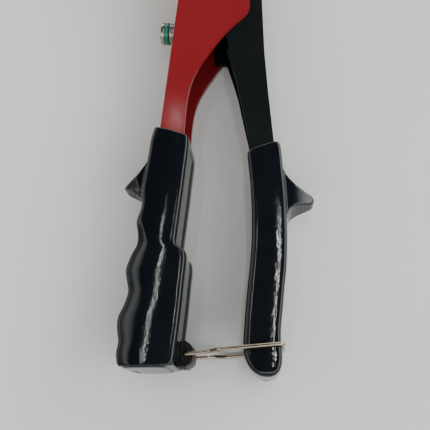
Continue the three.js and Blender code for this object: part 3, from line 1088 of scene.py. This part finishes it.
def nosepiece_profile(shank):
    return [
        (-5.1, 1.7),
        (-5.1, 5.4),
        (-4.9, 5.7),
        (-4.5, 5.9),
        (-4.3, 6.0),
        (-2.8, 6.0),
        (-2.6, 5.8),
        (-2.6, 4.9),
        (-0.3, 4.9),
        (-0.3, 3.4),
        (0.4, 3.3),
        (shank - 1, 3.3),
        (shank, 2.7),
        (shank, 1.7),
    ]


def ring_profile():
    return [
        (-2.4, 5.1),
        (-2.4, 5.7),
        (-2.1, 5.95),
        (-1.25, 6.05),
        (-0.4, 5.95),
        (-0.1, 5.7),
        (-0.1, 5.1),
    ]


def nosepiece(name, origin, direction, shank, body, ring_slot):
    piece = turned(name, nosepiece_profile(shank), origin, direction, 144, flange_flutes)
    smooth_by_angle(piece, 35)
    node = "nosepiece" if body == "fitted_nosepiece" else "spare_nosepiece"
    dressed(piece, body, "plated_steel", node)
    ring = turned(name + "_band", ring_profile(), origin, direction)
    smooth_by_angle(ring, 40)
    dressed(ring, body, ring_slot, node + "_ring")


inward = -out_dir
nosepiece("fitted_nose", (-84.2, ARM, 0), axis_x, 7, "fitted_nosepiece", "ring_fitted")
spare_origin = Vector(spare_at) + out_dir * 4.7
nosepiece("stored_nose", spare_origin, inward, 8, "spare_nosepiece", "ring_spare")

bush = turned(
    "spare_bush",
    [
        (-4.6, 3.55),
        (-4.6, 5.2),
        (-4.3, 5.6),
        (-4.0, 5.7),
        (-3.2, 5.7),
        (-2.9, 5.35),
        (-2.5, 5.35),
        (-2.2, 5.7),
        (-0.3, 5.7),
        (-0.3, 5.0),
        (5.6, 5.0),
        (6.0, 4.6),
        (6.0, 3.55),
    ],
    spare_at,
    inward,
)
smooth_by_angle(bush, 35)
dressed(bush, "body", "steel", "spare_socket")


def barrel_knurl(along, radius, angle):
    if -60 < along < -49.5 and radius > 9:
        return 0.12 * math.cos(40 * angle)
    return 0


barrel = turned(
    "barrel_sleeve",
    [
        (-84, 3.55),
        (-84, 6.6),
        (-83.6, 7.0),
        (-82.2, 7.6),
        (-77.5, 9.2),
        (-76.2, 9.45),
        (-75, 9.5),
        (-60.4, 9.5),
        (-60.0, 9.2),
        (-59.6, 9.4),
        (-49.8, 9.4),
        (-49.4, 9.2),
        (-48.8, 9.4),
        (-48.3, 9.1),
        (-48.3, 7.8),
        (-33.4, 7.8),
        (-33, 7.4),
        (-33, 6.8),
        (-80, 6.8),
        (-80, 3.55),
    ],
    (0, ARM, 0),
    axis_x,
    160,
    barrel_knurl,
)
smooth_by_angle(barrel, 35)
dressed(barrel, "body", "red_paint", "barrel")


def cap_knurl(along, radius, angle):
    if 32.8 < along < 35.6 and radius > 7:
        return 0.15 * math.cos(30 * angle)
    return 0


rear_cap = turned(
    "rear_plug",
    [
        (16, 2.3),
        (16, 2.95),
        (24, 2.95),
        (24, 5.6),
        (32.3, 5.6),
        (32.3, 7.6),
        (32.7, 7.9),
        (33, 8.0),
        (35.4, 8.0),
        (35.8, 7.8),
        (36.5, 6.8),
        (36.5, 3.2),
        (35.6, 2.3),
    ],
    (0, ARM, 0),
    axis_x,
    150,
    cap_knurl,
)
smooth_by_angle(rear_cap, 35)
dressed(rear_cap, "body", "steel", "rear_cap")

pin = turned(
    "pivot_rivet",
    [
        (-FIXED_GRIP_HALF, 0),
        (-FIXED_GRIP_HALF, 4.6),
        (-13.85, 5.5),
        (-13.4, 6.1),
        (-12.9, 6.2),
        (-12.35, 6.2),
        (-12.35, 3.5),
        (13.4, 3.5),
        (13.8, 3.2),
        (13.9, 2.6),
        (13.7, 0),
    ],
    (0, 0, 0),
    (0, 0, 1),
)
smooth_by_angle(pin, 35)
dressed(pin, "body", "plated_steel", "pivot_pin")

# the jaw spring, made as two coils split at the tube's mouth: its front end sits on the pusher and
# its rear end rests in the rear cap. In the tool the coils beyond the mouth ride with the draw tube,
# but neither coil is hung on a body here
COIL_FRONT, COIL_JOIN, COIL_REAR = -42.2, -27.1, 23.3
COIL_PITCH = (COIL_REAR - COIL_FRONT) / 13
COIL_R = 3.55


def coil(name, x0, x1):
    count = round((x1 - x0) / COIL_PITCH * 24)
    points = []
    for k in range(count + 1):
        x = x0 + (x1 - x0) * k / count
        angle = 2 * math.pi * (x - COIL_FRONT) / COIL_PITCH
        spot = Vector((x, ARM + COIL_R * math.cos(angle), COIL_R * math.sin(angle)))
        points.append(PIVOT + spot * MM)
    wire = swept(name, points, 0.45 * MM, 10)
    return smooth_by_angle(wire, 60)


front_coil = coil("jaw_coil_front", COIL_FRONT, COIL_JOIN - 0.14)
rear_coil = coil("jaw_coil", COIL_JOIN + 0.14, COIL_REAR)
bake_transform(front_coil)
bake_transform(rear_coil)
for wire in (front_coil, rear_coil):
    wire.data.materials.append(LOOKS["spring_steel"])
    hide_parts("jaw_spring")

# ------------------------------------------------------------------ CAD nodes that stay

slots = {s["node"]: s["material_slot"] for s in frame["record"]["subparts"]}
replaced = {
    "body_shell", "lever", "fixed_grip", "lever_grip", "latch_lug", "latch_loop",
    "nosepiece", "nosepiece_ring", "spare_nosepiece", "spare_nosepiece_ring", "spare_socket",
    "barrel", "rear_cap", "pivot_pin", "jaw_spring",
}
for name, obj in frame["nodes"].items():
    if name in replaced:
        continue
    obj.data.materials.clear()
    obj.data.materials.append(LOOKS[slots[name]])
    mod = obj.modifiers.new("edge_round", "BEVEL")
    mod.width = 0.12 * MM
    mod.segments = 2
    mod.limit_method = "ANGLE"
    mod.angle_limit = math.radians(40)
    mod.harden_normals = True

# ------------------------------------------------------------------ table, light and camera


def table_top():
    n = Nodes("table_gloss")
    tone = n.noise(3.2, 3, 0.6)
    colour = n.ramp(tone, [(0.3, (0.78, 0.79, 0.775)), (0.7, (0.82, 0.83, 0.81))])
    n.join(colour, n.bsdf.inputs["Base Color"])
    n.join(n.span(n.noise(9, 3), 0.34, 0.42), n.bsdf.inputs["Roughness"])
    n.put("Specular IOR Level", 0.3)
    return n.material


floor_mesh = bpy.data.meshes.new("table")
half = 1.6
floor_mesh.from_pydata(
    [(-half, -half, 0), (half, -half, 0), (half, half, 0), (-half, half, 0)], [], [(0, 1, 2, 3)]
)
floor = new_object("table", floor_mesh)
floor.data.materials.append(table_top())

world = bpy.data.worlds.new("studio")
bpy.context.scene.world = world
world.use_nodes = True
sky = world.node_tree
background = sky.nodes["Background"]
background.inputs["Strength"].default_value = 1.0
ways = sky.nodes.new("ShaderNodeTexCoord")
facing = sky.nodes.new("ShaderNodeVectorMath")
facing.operation = "DOT_PRODUCT"
facing.inputs[1].default_value = Vector((0, 0.3, 1)).normalized()
sky.links.new(ways.outputs["Generated"], facing.inputs[0])
fade = sky.nodes.new("ShaderNodeValToRGB")
stops = [(0.05, 0.42), (0.25, 1.2), (0.40, 4.8), (0.55, 3.0), (0.66, 0.29), (0.78, 0.03)]
while len(fade.color_ramp.elements) < len(stops):
    fade.color_ramp.elements.new(0.5)
for element, (position, level) in zip(fade.color_ramp.elements, stops):
    element.position = position
    element.color = (level, level * 1.005, level * 0.985, 1)
sky.links.new(facing.outputs["Value"], fade.inputs["Fac"])
apart = sky.nodes.new("ShaderNodeSeparateXYZ")
sky.links.new(ways.outputs["Generated"], apart.inputs[0])
sides = sky.nodes.new("ShaderNodeMapRange")
sides.inputs["From Min"].default_value = -0.8
sides.inputs["From Max"].default_value = 0.8
sides.inputs["To Min"].default_value = 0.46
sides.inputs["To Max"].default_value = 1.60
sky.links.new(apart.outputs["X"], sides.inputs["Value"])
sky.links.new(sides.outputs["Result"], background.inputs["Strength"])
sky.links.new(fade.outputs["Color"], background.inputs["Color"])


# the camera stands over this point of the table, and the tubes hang left and right of it
stand = Vector((PIVOT.x + 0.016, PIVOT.y - 0.2695, 0))
TUBE_HEIGHT = 1.2


def tube_light(name, start, end, width, power):
    """A long ceiling tube facing down, between two (x, y) places measured from the stand."""
    a, b = (stand + Vector((*place, TUBE_HEIGHT)) for place in (start, end))
    data = bpy.data.lights.new(name, "AREA")
    data.shape = "RECTANGLE"
    data.size, data.size_y = width, (b - a).length
    data.energy = power
    data.color = (1.0, 0.99, 0.97)
    obj = bpy.data.objects.new(name, data)
    bpy.context.scene.collection.objects.link(obj)
    along = (b - a).normalized()
    down_way = Vector((0, 0, -1))
    side = along.cross(-down_way).normalized()
    turn = Matrix((side, along, side.cross(along))).transposed()
    obj.matrix_world = Matrix.Translation((a + b) / 2) @ turn.to_4x4()
    return obj


tube_light("tube_left", (-0.32, 0.16), (-0.27, 0.58), width=0.005, power=0.8)
tube_light("tube_far", (-0.255, 0.84), (-0.25, 0.91), width=0.02, power=0.035)
tube_light("tube_right", (0.17, 0.16), (0.17, 0.57), width=0.006, power=1.3)

camera_data = bpy.data.cameras.new("camera")
camera = bpy.data.objects.new("camera", camera_data)
bpy.context.scene.collection.objects.link(camera)
bpy.context.scene.camera = camera
camera_data.sensor_width = 36
camera_data.lens = 46.88
camera.location = (stand.x, stand.y, PIVOT.z + 0.253)
# the table's downward direction as the camera has it: right, away and along the view
down = Vector((0.10536, 0.39643, 1)).normalized()
right = (Vector((1, 0, 0)) - down * down.x).normalized()
up_axis = -down
ahead = up_axis.cross(right)
axes = Matrix((right, ahead, up_axis))
view = Matrix((axes.col[0], -axes.col[1], -axes.col[2])).transposed()
camera.rotation_euler = view.to_euler()
camera_data.clip_start = 0.01
